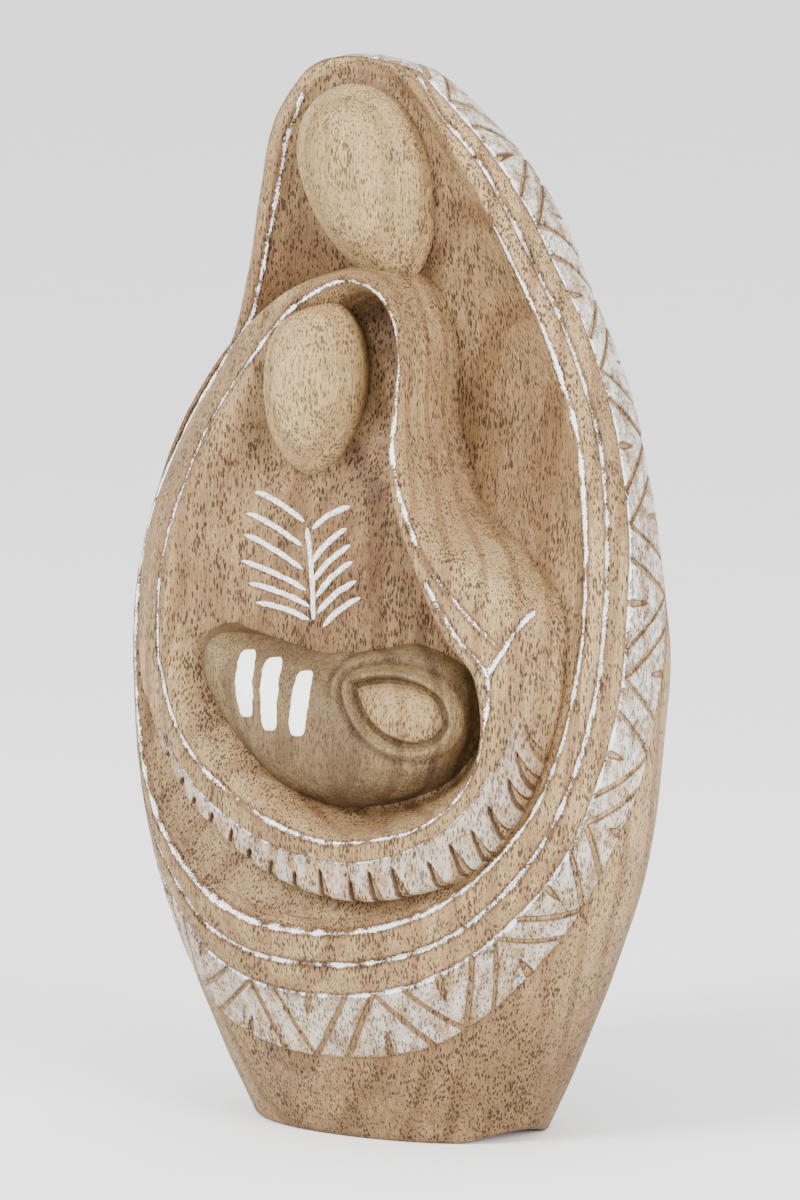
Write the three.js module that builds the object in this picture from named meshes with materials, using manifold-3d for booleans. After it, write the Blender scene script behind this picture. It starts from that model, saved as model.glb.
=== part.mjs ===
// Carved wooden family group: a tall hooded figure wraps a smaller figure, who holds a swaddled baby.
// Millimetres, +Z up, the carved front faces -Y. The origin is the middle of the flat foot.
import * as THREE from 'three';
import { mergeVertices } from 'three/addons/utils/BufferGeometryUtils.js';
import Module from 'manifold-3d';

const wasm = await Module();
wasm.setup();

// ---------- driving dimensions ----------

const HEIGHT = 400;
const GAP = 0.3; // clear space between neighbouring pieces
const SEAT_GAP = 0.4; // clear space under the band and the rim
const SQUARENESS = 2.15; // superellipse power of the body's cross-sections
const SKEW = 0.06; // how far the hood's edge falls back for each mm to the left
const BAND_DEPTH = 6; // thickness of the zigzag band
const RIM_DEPTH = 9; // thickness of the hood's rim
const RELIEF_STEP = 8; // grid of the carved surfaces
const SMALLEST_EDGE = 0.02;
const FAR = 150; // beyond the body on every side

// The egg-shaped body: height, then its reach to the left, right, front and back.
const BODY = [
  [0, 58, 59, 35, 36],
  [30, 72, 72, 46, 47],
  [60, 85, 84, 54, 55],
  [100, 98, 97, 61, 61],
  [140, 105, 104, 63, 63],
  [180, 106.5, 106.5, 62, 63],
  [220, 102, 103, 59, 60],
  [260, 85, 95, 54, 56],
  [290, 67, 85, 48, 51],
  [320, 58, 73, 41, 44],
  [350, 54, 58, 33, 36],
  [375, 50, 38, 24, 27],
  [392, 39, 17, 15, 18],
  [HEIGHT, 24, -6, 3, 6],
];

// Where the hood's edge lines run, seen from the side: height and distance in front of the middle.
const RIM_INNER = [
  [60, 72], [82, 58], [105, 48], [138, 37], [190, 28], [244, 21], [280, 18], [342, 20], [372, 17], [388, 12], [402, 5],
];
const BAND_INNER = [[30, 76], [58, 53], [85, 40], [125, 25], [200, 10], [280, 0], [345, 6], [380, 7], [402, 3]];
const BAND_OUTER = [[5, 76], [33, 47], [59, 33], [104, 15], [146, -1], [205, -16], [280, -22], [345, -17], [402, -10]];

// Closed outlines seen from the front, x and height.
const MANTLE_OUTLINE = [
  [-4, 325], [14, 321], [24, 306], [27, 290], [27, 268], [39, 238], [62, 221], [82, 202], [84, 172], [75, 136],
  [57, 108], [19, 94], [-18, 98], [-50, 115], [-78, 138], [-95, 172], [-97, 212], [-88, 252], [-66, 288], [-32, 316],
];
const FRINGE_LINE = [
  [74, 206], [73, 172], [66, 148], [46, 122], [12, 109], [-28, 116], [-60, 134], [-82, 153], [-96, 172],
  [-130, 260], [0, 380], [130, 260],
];
const HOLLOW_OUTLINE = [
  [-3, 321], [14, 315], [23, 295], [23, 262], [29, 235], [45, 199], [59, 179], [60, 149], [44, 128],
  [15, 117], [-15, 119], [-45, 133], [-68, 155], [-77, 190], [-71, 230], [-55, 271], [-30, 304],
];
const BUNDLE_OUTLINE = [
  [-61, 184], [-54, 190], [-38, 188], [-24, 186], [-8, 184], [10, 187], [28, 189], [45, 182], [53, 168],
  [49, 152], [34, 136], [5, 127], [-22, 132], [-46, 151], [-60, 170],
];

const FATHER_HEAD = { at: [-5, -14, 354], radii: [24.5, 19, 39], lean: -21, taper: 0.17 };
const MOTHER_HEAD = { at: [-18, -32, 281], radii: [20, 18, 33], lean: 5, taper: 0.08 };
const FACE = { at: [29, -53, 166], radii: [15, 7, 10.5], lean: 19, taper: 0 };
const HOOD_RING = { at: [28, -53.5, 166], radii: [20.5, 1, 14.5], tube: 4, lean: 19 };

// Fishbone strokes on the chest: [tip x, tip z, root x, root z]
const STEM = [-20, 229, -15, 194];
const LEFT_LEAVES = [
  [-45, 240, -23, 231], [-48, 232, -23.5, 222], [-49, 224, -23, 213.5],
  [-50, 214, -21.5, 206], [-46, 206, -19.5, 200], [-42, 199, -19, 195],
];
const RIGHT_LEAVES = [
  [-1, 238, -16.5, 228.5], [-2, 230, -16.5, 216], [0, 224, -15, 210],
  [1, 218, -13.5, 204], [3, 211, -12.5, 198], [5, 205, -10, 193],
];
const STROKE_WIDTH = 2.2;
const PAINT_THICKNESS = 0.9;

// White bars on the baby's wrap: [top x, top z, bottom x, bottom z]
const BARS = [[-39, 182, -33, 161], [-28, 180, -22.5, 157], [-14, 176, -11, 156]];
const BAR_WIDTH = 6.5;

// ---------- curves ----------

// Smooth value between rows of [position, value, value...], by cubic Hermite pieces.
function between(rows, t) {
  const last = rows.length - 1;
  const at = Math.min(Math.max(t, rows[0][0]), rows[last][0]);
  let i = 0;
  while (i < last - 1 && at > rows[i + 1][0]) i += 1;
  const slope = (j, k) => {
    const a = rows[Math.max(j - 1, 0)];
    const b = rows[Math.min(j + 1, last)];
    return (b[k] - a[k]) / (b[0] - a[0]);
  };
  const [p, q] = [rows[i], rows[i + 1]];
  const span = q[0] - p[0];
  const u = (at - p[0]) / span;
  return p.slice(1).map((value, k) => {
    const rise = q[k + 1] - value;
    const m0 = slope(i, k + 1) * span;
    const m1 = slope(i + 1, k + 1) * span;
    return value + u * (m0 + u * (3 * rise - 2 * m0 - m1 + u * (m0 + m1 - 2 * rise)));
  });
}

function smoothLoop(points, count) {
  const spline = new THREE.CatmullRomCurve3(points.map(([x, z]) => new THREE.Vector3(x, z, 0)), true);
  return spline.getSpacedPoints(count).slice(0, count).map((p) => [p.x, p.y]);
}

// Distance from a point to a closed polygon, positive inside it.
function depthInside(loop, x, z) {
  let nearest = Infinity;
  let inside = false;
  loop.forEach(([ax, az], i) => {
    const [bx, bz] = loop[(i + 1) % loop.length];
    const [dx, dz] = [bx - ax, bz - az];
    const t = Math.min(Math.max(((x - ax) * dx + (z - az) * dz) / (dx * dx + dz * dz), 0), 1);
    nearest = Math.min(nearest, Math.hypot(x - ax - t * dx, z - az - t * dz));
    if (az > z !== bz > z && x < ax + ((z - az) / dz) * dx) inside = !inside;
  });
  return inside ? nearest : -nearest;
}

const smoothStep = (t) => THREE.MathUtils.smoothstep(t, 0, 1);

// ---------- solids ----------

function toSolid(geometry) {
  const bare = geometry.clone();
  bare.deleteAttribute('normal');
  bare.deleteAttribute('uv');
  const merged = mergeVertices(bare, 1e-4);
  return new wasm.Manifold(new wasm.Mesh({
    numProp: 3,
    vertProperties: new Float32Array(merged.attributes.position.array),
    triVerts: new Uint32Array(merged.index.array),
  }));
}

// The largest body of a cut solid, without the hair-thin slivers and edges that a cut can leave.
function mainBody(solid) {
  const bodies = solid.simplify(SMALLEST_EDGE).decompose();
  return bodies.reduce((best, next) => (next.volume() > best.volume() ? next : best));
}

function toGeometry(solid) {
  const mesh = mainBody(solid).getMesh();
  const geometry = new THREE.BufferGeometry();
  geometry.setAttribute('position', new THREE.BufferAttribute(mesh.vertProperties, mesh.numProp));
  geometry.setIndex(new THREE.BufferAttribute(mesh.triVerts, 1));
  geometry.computeVertexNormals();
  return geometry;
}

// A closed skin through rings of equal count, each end closed by a fan.
function loft(rings) {
  const count = rings[0].length;
  const points = rings.flat();
  const faces = [];
  for (let r = 0; r < rings.length - 1; r += 1) {
    for (let i = 0; i < count; i += 1) {
      const a = r * count + i;
      const b = r * count + ((i + 1) % count);
      faces.push(a, b, b + count, a, b + count, a + count);
    }
  }
  const top = (rings.length - 1) * count;
  for (let i = 1; i < count - 1; i += 1) {
    faces.push(0, i + 1, i);
    faces.push(top, top + i, top + i + 1);
  }
  const geometry = new THREE.BufferGeometry();
  geometry.setAttribute('position', new THREE.Float32BufferAttribute(points.flat(), 3));
  geometry.setIndex(faces);
  return toSolid(geometry);
}

// The body's cross-section at one height, drawn in by an inset.
function bodyRing(z, inset) {
  const [left, right, front, back] = between(BODY, z).map((reach) => reach - inset);
  const middle = (right - left) / 2;
  const half = Math.max((right + left) / 2, 0.5);
  const ring = [];
  const count = 36;
  for (let i = 0; i < count; i += 1) {
    const angle = (2 * Math.PI * i) / count;
    const [c, s] = [Math.cos(angle), Math.sin(angle)];
    const across = Math.sign(c) * Math.abs(c) ** (2 / SQUARENESS);
    const along = Math.sign(s) * Math.abs(s) ** (2 / SQUARENESS);
    ring.push([middle + half * across, along * Math.max(s < 0 ? front : back, 0.5), z]);
  }
  return ring;
}

function body(inset) {
  const rings = [];
  const count = 22;
  for (let i = 0; i <= count; i += 1) {
    const t = i / count;
    // The rings close up towards the rounded crown.
    rings.push(bodyRing((HEIGHT - inset) * (1.25 * t - 0.25 * t ** 4.2), inset));
  }
  return loft(rings);
}

// How far forward the body's skin lies at a front view point, as a y value.
function skin(x, z) {
  const [left, right, front] = between(BODY, z);
  const u = Math.abs((x - (right - left) / 2) / ((right + left) / 2));
  return u >= 1 ? 0 : -front * (1 - u ** SQUARENESS) ** (1 / SQUARENESS);
}

// Everything in front of a hood edge line, moved forward by an offset.
function inFrontOf(line, offset) {
  const profile = new THREE.Shape();
  profile.moveTo(-FAR, line[0][0] - FAR);
  const steps = 16;
  for (let i = 0; i <= steps; i += 1) {
    const z = line[0][0] + ((line[line.length - 1][0] - line[0][0]) * i) / steps;
    profile.lineTo(-between(line, z)[0] - offset, z);
  }
  profile.lineTo(-between(line, HEIGHT + 2)[0] - offset, HEIGHT + FAR);
  profile.lineTo(-FAR, HEIGHT + FAR);
  const slab = new THREE.ExtrudeGeometry(profile, { depth: 2 * FAR, bevelEnabled: false });
  slab.translate(0, 0, -FAR);
  // The profile's own x and y become the body's y and z.
  slab.applyMatrix4(new THREE.Matrix4().set(0, 0, 1, 0, 1, 0, -SKEW, 0, 0, 1, 0, 0, 0, 0, 0, 1));
  return toSolid(slab);
}

// A prism through the body from front to back, inside an outline seen from the front.
function through(loop) {
  const shape = new THREE.Shape(loop.map(([x, z]) => new THREE.Vector2(x, z)));
  const prism = new THREE.ExtrudeGeometry(shape, { depth: 2 * FAR, bevelEnabled: false });
  prism.rotateX(Math.PI / 2);
  prism.translate(0, FAR, 0);
  return toSolid(prism);
}

// Everything behind a carved surface that is given as y at each x and z.
function behind(surface, x0, x1, z0, z1, step = RELIEF_STEP) {
  const columns = Math.round((x1 - x0) / step);
  const rows = Math.round((z1 - z0) / step);
  const sheet = (depth) => {
    const ring = [];
    for (let j = 0; j <= rows; j += 1) {
      for (let i = 0; i <= columns; i += 1) {
        const x = x0 + ((x1 - x0) * i) / columns;
        const z = z0 + ((z1 - z0) * j) / rows;
        ring.push([x, depth ?? surface(x, z), z]);
      }
    }
    return ring;
  };
  const points = [...sheet(), ...sheet(FAR)];
  const back = (columns + 1) * (rows + 1);
  const faces = [];
  const quad = (a, b, c, d) => faces.push(a, b, c, a, c, d);
  const at = (i, j) => j * (columns + 1) + i;
  for (let j = 0; j < rows; j += 1) {
    for (let i = 0; i < columns; i += 1) {
      quad(at(i, j), at(i + 1, j), at(i + 1, j + 1), at(i, j + 1));
      quad(back + at(i, j), back + at(i, j + 1), back + at(i + 1, j + 1), back + at(i + 1, j));
    }
  }
  const wall = (a, b) => quad(b, a, a + back, b + back);
  for (let i = 0; i < columns; i += 1) {
    wall(at(i, 0), at(i + 1, 0));
    wall(at(i + 1, rows), at(i, rows));
  }
  for (let j = 0; j < rows; j += 1) {
    wall(at(columns, j), at(columns, j + 1));
    wall(at(0, j + 1), at(0, j));
  }
  const geometry = new THREE.BufferGeometry();
  geometry.setAttribute('position', new THREE.Float32BufferAttribute(points.flat(), 3));
  geometry.setIndex(faces);
  return toSolid(geometry);
}

// An egg, narrower at its lower end, that leans in the front view.
function egg({ at, radii, lean, taper }, grow = 0) {
  const sphere = new THREE.SphereGeometry(1, 24, 16);
  sphere.rotateX(Math.PI / 2);
  const position = sphere.attributes.position;
  for (let i = 0; i < position.count; i += 1) {
    const swell = 1 + taper * position.getZ(i);
    position.setX(i, position.getX(i) * swell);
    position.setY(i, position.getY(i) * swell);
  }
  sphere.scale(radii[0] + grow, radii[1] + grow, radii[2] + grow);
  sphere.rotateY(THREE.MathUtils.degToRad(lean));
  sphere.translate(...at);
  return toSolid(sphere);
}

function ring({ at, radii, tube, lean }, grow = 0) {
  const torus = new THREE.TorusGeometry(1, 1, 8, 32);
  const position = torus.attributes.position;
  const [tubes, turns] = [9, 33];
  for (let i = 0; i < tubes * turns; i += 1) {
    const around = (2 * Math.PI * Math.floor(i % turns)) / (turns - 1);
    const across = (2 * Math.PI * Math.floor(i / turns)) / (tubes - 1);
    const reach = (tube + grow) * Math.cos(across);
    position.setXYZ(
      i,
      (radii[0] + reach) * Math.cos(around),
      (radii[2] + reach) * Math.sin(around),
      (tube + grow) * Math.sin(across),
    );
  }
  torus.rotateX(Math.PI / 2);
  torus.rotateY(THREE.MathUtils.degToRad(lean));
  torus.translate(...at);
  return toSolid(torus);
}

// ---------- carved surfaces ----------

const mantleLoop = smoothLoop(MANTLE_OUTLINE, 72);
const fringeLoop = smoothLoop(FRINGE_LINE, 72);
const hollowLoop = smoothLoop(HOLLOW_OUTLINE, 72);
const bundleLoop = smoothLoop(BUNDLE_OUTLINE, 56);

// Depth of the tall figure's hollow behind its rim, by height.
const HOOD_DEPTH = [[70, 2], [100, 4], [160, 8], [200, 12], [230, 15], [270, 16], [320, 15], [360, 12], [385, 8], [400, 2]];

// Floor of the tall figure's hollow: a trough that rises to the rim at both sides.
function hoodFloor(x, z) {
  const [left, right] = between(BODY, z);
  const u = (x - (right - left) / 2) / ((right + left) / 2 - RIM_DEPTH);
  const bowl = Math.max(1 - Math.abs(u) ** 3.2, 0);
  return -between(RIM_INNER, z)[0] - SKEW * x + between(HOOD_DEPTH, z)[0] * bowl;
}

// The smaller figure's robe: the body's own skin, rounded off towards its outline.
function mantleFront(x, z) {
  const inside = Math.max(depthInside(mantleLoop, x, z), 0);
  const arm = smoothStep((x + 30) / 50) * smoothStep((z - 150) / 60);
  const radius = 5 + 7 * arm;
  const drop = radius + 7 * arm;
  const t = Math.min(inside / radius, 1);
  return skin(x, z) + drop * (1 - Math.sqrt(1 - (1 - t) ** 2));
}

// The smaller figure's hollow: steep at the arm, gentle at the left.
function chest(x, z) {
  const inside = depthInside(hollowLoop, x, z);
  const gentle = smoothStep((15 - x) / 60);
  const depth = 23 * smoothStep((inside + 2) / (13 + 15 * gentle));
  return mantleFront(x, z) + depth;
}

// The baby's bundle: a rounded cushion rising from the chest's floor.
function bundleFront(x, z) {
  const t = Math.min(Math.max(depthInside(bundleLoop, x, z), 0) / 27, 1);
  const floor = -36 - 7 * smoothStep((185 - z) / 50);
  return floor - 18 * Math.sqrt(1 - (1 - t) ** 2);
}

// ---------- the pieces ----------

const whole = body(0);
const bandCore = body(BAND_DEPTH);
const rimCore = body(RIM_DEPTH);
const wide = [-FAR + 30, FAR - 30, -20, HEIGHT + 20];
const group = [-98, 98, 84, 334];

function behindHoodFloor(offset) {
  return behind((x, z) => hoodFloor(x, z) + offset, ...wide, 12);
}

function behindChest(offset) {
  return behind((x, z) => chest(x, z) + offset, ...group);
}

function behindBundle(offset) {
  return behind((x, z) => bundleFront(x, z) + offset, ...group, 7);
}

const mantleBlank = whole
  .intersect(through(mantleLoop))
  .intersect(behindChest(0))
  .subtract(behindHoodFloor(-GAP));

function makeBand() {
  return whole
    .subtract(bandCore)
    .intersect(inFrontOf(BAND_OUTER, GAP))
    .subtract(inFrontOf(BAND_INNER, 0));
}

function makeRim() {
  return whole
    .subtract(rimCore)
    .intersect(inFrontOf(BAND_INNER, GAP))
    .intersect(behindHoodFloor(0));
}

function makeBlock() {
  const bandSeat = inFrontOf(BAND_OUTER, 0).subtract(body(BAND_DEPTH + SEAT_GAP));
  const rimSeat = inFrontOf(BAND_INNER, -GAP).subtract(body(RIM_DEPTH + SEAT_GAP));
  return whole.subtract(bandSeat).subtract(rimSeat).intersect(behindHoodFloor(0));
}

function makeMantle() {
  return mantleBlank.intersect(through(fringeLoop));
}

function makeFringe() {
  const apart = smoothLoop(FRINGE_LINE.map(([x, z]) => [x * 1.006, z - GAP]), 72);
  return mantleBlank.subtract(through(apart));
}

function makeFatherHead() {
  const clear = smoothLoop(MANTLE_OUTLINE.map(([x, z]) => [x * 1.01, z + GAP]), 72);
  return egg(FATHER_HEAD).subtract(behindHoodFloor(-GAP)).subtract(through(clear));
}

function makeMotherHead() {
  return egg(MOTHER_HEAD).subtract(behindChest(-GAP));
}

function makeBundle() {
  return through(bundleLoop)
    .intersect(behindBundle(0))
    .subtract(behindChest(-GAP))
    .subtract(egg(FACE, GAP))
    .subtract(ring(HOOD_RING, GAP));
}

function makeFace() {
  return egg(FACE).subtract(ring(HOOD_RING, GAP));
}

// A layer of paint over a carved surface.
function coat(behindSurface) {
  return behindSurface(-GAP - PAINT_THICKNESS).subtract(behindSurface(-GAP));
}

// A painted stroke in a coat, drawn as a blunt leaf between two points.
function stroke([ax, az, bx, bz], width, paintCoat) {
  const length = Math.hypot(bx - ax, bz - az);
  const [dx, dz] = [(bx - ax) / length, (bz - az) / length];
  const loop = [];
  const count = 14;
  for (let i = 0; i < count; i += 1) {
    const angle = (2 * Math.PI * i) / count;
    const along = length * (0.5 + 0.5 * Math.cos(angle));
    const across = (width / 2) * Math.sign(Math.sin(angle)) * Math.abs(Math.sin(angle)) ** 0.6;
    loop.push([ax + dx * along - dz * across, az + dz * along + dx * across]);
  }
  return through(loop).intersect(paintCoat);
}

// ---------- materials and the exported group ----------

const wood = (color) => new THREE.MeshStandardMaterial({ color, roughness: 0.72, metalness: 0 });
const paint = () => new THREE.MeshStandardMaterial({ color: 0xf2f1ec, roughness: 0.6, metalness: 0 });

const family = new THREE.Group();

function add(name, solid, material) {
  const mesh = new THREE.Mesh(toGeometry(solid), material);
  mesh.name = name;
  family.add(mesh);
}

add('block', makeBlock(), wood(0xc3a27c));
add('outer_rim', makeRim(), wood(0xcaa982));
add('zigzag_band', makeBand(), wood(0xd8c8b2));
add('mother_mantle', makeMantle(), wood(0xc8a880));
add('fringe_band', makeFringe(), wood(0xd4c3ab));
add('father_head', makeFatherHead(), wood(0xcdae86));
add('mother_head', makeMotherHead(), wood(0xcdae86));
add('baby_bundle', makeBundle(), wood(0xc9a87e));
add('baby_hood', ring(HOOD_RING), wood(0xc9a87e));
add('baby_face', makeFace(), wood(0xcdae86));

const chestCoat = coat(behindChest);
const bundleCoat = coat(behindBundle);
const addStroke = (name, line, width, paintCoat) => add(name, stroke(line, width, paintCoat), paint());
BARS.forEach((bar, i) => addStroke(`paint_bar_${i + 1}`, bar, BAR_WIDTH, bundleCoat));
addStroke('fishbone_stem', STEM, STROKE_WIDTH, chestCoat);
LEFT_LEAVES.forEach((leaf, i) => addStroke(`fishbone_left_${i + 1}`, leaf, STROKE_WIDTH, chestCoat));
RIGHT_LEAVES.forEach((leaf, i) => addStroke(`fishbone_right_${i + 1}`, leaf, STROKE_WIDTH, chestCoat));

export default family;
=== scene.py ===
import math

import bpy
import numpy as np
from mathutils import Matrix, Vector


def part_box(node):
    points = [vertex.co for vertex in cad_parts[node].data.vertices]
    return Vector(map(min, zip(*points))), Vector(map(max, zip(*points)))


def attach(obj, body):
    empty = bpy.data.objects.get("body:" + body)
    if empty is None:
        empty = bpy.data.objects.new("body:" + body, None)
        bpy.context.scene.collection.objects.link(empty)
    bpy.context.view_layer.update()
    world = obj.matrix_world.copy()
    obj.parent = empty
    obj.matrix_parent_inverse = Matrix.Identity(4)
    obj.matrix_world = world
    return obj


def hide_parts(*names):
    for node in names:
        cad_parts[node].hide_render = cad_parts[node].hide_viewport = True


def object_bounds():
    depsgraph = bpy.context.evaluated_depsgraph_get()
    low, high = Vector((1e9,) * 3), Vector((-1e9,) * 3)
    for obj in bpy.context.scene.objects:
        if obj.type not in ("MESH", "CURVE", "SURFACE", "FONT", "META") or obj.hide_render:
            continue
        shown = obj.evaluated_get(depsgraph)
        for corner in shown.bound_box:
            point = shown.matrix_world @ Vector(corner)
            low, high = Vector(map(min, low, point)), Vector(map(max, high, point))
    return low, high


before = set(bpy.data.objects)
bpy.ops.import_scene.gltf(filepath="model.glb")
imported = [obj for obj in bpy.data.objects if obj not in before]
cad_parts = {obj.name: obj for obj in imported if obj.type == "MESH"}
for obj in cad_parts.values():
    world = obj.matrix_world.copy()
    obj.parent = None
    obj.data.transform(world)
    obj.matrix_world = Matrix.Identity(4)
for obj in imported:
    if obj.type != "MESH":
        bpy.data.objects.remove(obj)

CAD_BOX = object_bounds()
HEIGHT = 1000 * (CAD_BOX[1][2] - CAD_BOX[0][2])  # millimetres, as every size below

# ---------- the carving's driving shapes, in millimetres ----------

SQUARENESS = 2.15  # superellipse power of the body's cross-sections
SKEW = 0.06  # how far the hood's edge falls back for each millimetre to the left

# The egg-shaped body: height, then its reach to the left, right, front and back.
BODY = np.array([
    (0, 58, 59, 35, 36), (30, 72, 72, 46, 47), (60, 85, 84, 54, 55), (100, 98, 97, 61, 61),
    (140, 105, 104, 63, 63), (180, 106.5, 106.5, 62, 63), (220, 102, 103, 59, 60), (260, 85, 95, 54, 56),
    (290, 67, 85, 48, 51), (320, 58, 73, 41, 44), (350, 54, 58, 33, 36), (375, 50, 38, 24, 27),
    (392, 39, 18, 15, 18), (397, 32, 9, 10, 12.5), (400, 20, -9, 3, 6),
], float)

# Where the hood's edge lines run, seen from the side: height and distance in front of the middle.
RIM_INNER = [
    (60, 72), (82, 58), (105, 48), (138, 37), (190, 28), (244, 21),
    (280, 18), (342, 20), (372, 17), (388, 12), (402, 5),
]
BAND_INNER = [(30, 76), (58, 53), (85, 40), (125, 25), (200, 10), (280, 0), (345, 6), (380, 7), (402, 3)]
BAND_OUTER = [
    (5, 76), (33, 47), (59, 33), (104, 15), (146, -1), (205, -16), (280, -22), (345, -17), (402, -10),
]

# By height: how deep the hood is hollowed, and how wide the robe rounds over on the right.
HOOD_DEPTH = [
    (70, 2), (100, 4), (160, 8), (200, 12), (230, 15), (270, 16), (320, 15), (360, 12), (385, 8), (400, 2),
]
ARM_RADIUS = [
    (90, 3), (120, 4), (150, 7), (175, 11), (200, 14), (220, 12), (240, 8), (262, 5.5), (330, 5.5),
]
RIM_WIDTH = 9

# Outlines seen from the front, x and height.
MANTLE_OUTLINE = [
    (-4, 325), (14, 321), (24, 306), (27, 290), (27, 268), (39, 238), (62, 221), (82, 202), (84, 172),
    (75, 136), (57, 108), (19, 94), (-18, 98), (-50, 115), (-78, 138), (-95, 172), (-97, 212), (-88, 252),
    (-66, 288), (-32, 316),
]
HOLLOW_OUTLINE = [
    (-3, 321), (14, 315), (23, 295), (23, 262), (29, 235), (45, 199), (59, 179), (60, 149), (44, 128),
    (15, 117), (-15, 119), (-45, 133), (-68, 155), (-77, 190), (-71, 230), (-55, 271), (-30, 304),
]
BUNDLE_OUTLINE = [
    (-61, 184), (-54, 190), (-38, 188), (-24, 186), (-8, 184), (10, 187), (28, 189), (45, 182), (53, 168),
    (49, 152), (34, 136), (5, 127), (-22, 132), (-46, 151), (-60, 170),
]
FRINGE_INNER = [(74, 188), (73, 172), (66, 149), (46, 123), (12, 110), (-28, 116), (-60, 134), (-85, 159)]
FRINGE_OUTER = [(84, 184), (83, 166), (75, 137), (56, 108), (19, 95), (-18, 98), (-50, 115), (-86, 153)]
CENTRE = np.array((-8.0, 205.0))  # the middle of the hollow

FATHER_HEAD = {"at": (-5, -14, 354), "radii": (24.5, 19, 39), "lean": -21, "taper": 0.17}
MOTHER_HEAD = {"at": (-18, -32, 281), "radii": (20, 18, 33), "lean": 5, "taper": 0.08}

# The baby's face: its place, its lean, and its outline in its own axes.
FACE_AT = (30.0, 166.0)
FACE_LEAN = math.radians(19)
FACE_OUTLINE = [
    (-26, 0.4), (-23, 3.8), (-16, 8.4), (-7, 12), (4, 13.2), (12.5, 11), (17.5, 6), (19.5, 0),
    (17.5, -7), (11, -12), (2, -14), (-8, -12.8), (-17, -8.6), (-23.5, -3.8),
]

# ---------- curves ----------


def smooth_rows(rows, count=4001):
    """Rows of (position, values...) as a dense table, joined by cubic Hermite pieces."""
    rows = np.asarray(rows, float)
    x = rows[:, 0]
    slopes = np.empty_like(rows[:, 1:])
    slopes[1:-1] = (rows[2:, 1:] - rows[:-2, 1:]) / (x[2:] - x[:-2])[:, None]
    slopes[0] = (rows[1, 1:] - rows[0, 1:]) / (x[1] - x[0])
    slopes[-1] = (rows[-1, 1:] - rows[-2, 1:]) / (x[-1] - x[-2])
    t = np.linspace(x[0], x[-1], count)
    i = np.clip(np.searchsorted(x, t, side="right") - 1, 0, len(x) - 2)
    span = (x[i + 1] - x[i])[:, None]
    u = (t - x[i])[:, None] / span
    rise = rows[i + 1, 1:] - rows[i, 1:]
    m0 = slopes[i] * span
    m1 = slopes[i + 1] * span
    values = rows[i, 1:] + u * (m0 + u * (3 * rise - 2 * m0 - m1 + u * (m0 + m1 - 2 * rise)))
    return t, values


def curve(rows):
    """A function of height through rows of (height, value)."""
    t, values = smooth_rows(rows)
    return lambda z: np.interp(z, t, values[:, 0])


def closed_curve(points, count):
    """A closed loop through the points (Catmull-Rom), with even steps."""
    p = np.asarray(points, float)
    n = len(p)
    t = np.linspace(0, n, 40 * n, endpoint=False)
    i = t.astype(int)
    u = (t - i)[:, None]
    a, b, c, d = (p[(i + k) % n] for k in (-1, 0, 1, 2))
    fine = 0.5 * (2 * b + u * (c - a + u * (2 * a - 5 * b + 4 * c - d + u * (3 * b - a - 3 * c + d))))
    return even_steps(np.vstack([fine, fine[:1]]), count + 1)[:-1]


def open_curve(points, count):
    """An open line through the points, with even steps."""
    p = np.asarray(points, float)
    steps = np.r_[0, np.cumsum(np.linalg.norm(np.diff(p, axis=0), axis=1))]
    _, fine = smooth_rows(np.column_stack([steps, p]))
    return even_steps(fine, count)


def even_steps(p, count):
    """The same polyline with evenly spaced points."""
    s = np.r_[0, np.cumsum(np.linalg.norm(np.diff(p, axis=0), axis=1))]
    t = np.linspace(0, s[-1], count)
    return np.column_stack([np.interp(t, s, p[:, k]) for k in range(p.shape[1])])


def smooth(t):
    """A soft step from 0 to 1."""
    t = np.clip(t, 0, 1)
    return t * t * (3 - 2 * t)


def fading(distance, length):
    """1 up to a line, falling off past it."""
    return np.exp(-np.clip(distance, 0, 99) / length)


def bell(distance, width):
    """1 on a line, falling off to both sides."""
    return np.exp(-(distance / width) ** 2)


def join(*axes):
    """Points from their coordinates."""
    return np.stack(axes, axis=-1)


def line_distance(p, line, closed=False):
    """Distance from each point to a polyline, in as many dimensions as the two have."""
    a = line if closed else line[:-1]
    b = np.roll(line, -1, axis=0) if closed else line[1:]
    d = b - a
    squares = (d ** 2).sum(axis=1)
    flat = p.reshape(-1, p.shape[-1])
    near = np.empty(len(flat))
    for k in range(0, len(flat), 8192):
        away = flat[k:k + 8192, None, :] - a
        t = np.clip((away * d).sum(axis=2) / squares, 0, 1)
        gap = ((away - t[..., None] * d) ** 2).sum(axis=2)
        near[k:k + 8192] = np.sqrt(gap.min(axis=1))
    return near.reshape(p.shape[:-1])


def depth_inside(x, z, loop):
    """Distance to a closed loop, positive inside it."""
    near = line_distance(join(x, z), loop, closed=True)
    px, pz = np.ravel(x), np.ravel(z)
    inside = np.zeros(px.size, bool)
    for (ax, az), (bx, bz) in zip(loop, np.roll(loop, -1, axis=0)):
        if az != bz:
            crosses = (az > pz) != (bz > pz)
            inside ^= crosses & (px < ax + (pz - az) * (bx - ax) / (bz - az))
    return np.where(inside.reshape(np.shape(x)), near, -near)


def waves(count, low, high, seed):
    """A smooth unevenness in three dimensions: a sum of plane waves, about -1 to 1."""
    source = np.random.default_rng(seed)
    way = source.normal(size=(count, 3))
    way /= np.linalg.norm(way, axis=1)[:, None]
    way *= (2 * math.pi / source.uniform(low, high, count))[:, None]
    phase = source.uniform(0, 2 * math.pi, count)
    return lambda p: np.sin(p @ way.T + phase).sum(axis=-1) / math.sqrt(count)


HAND_CUT = waves(14, 22, 60, 1)
TOOL_MARKS = waves(18, 5, 12, 2)

# ---------- the body's skin ----------

BODY_Z, BODY_REACH = smooth_rows(BODY)


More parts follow.
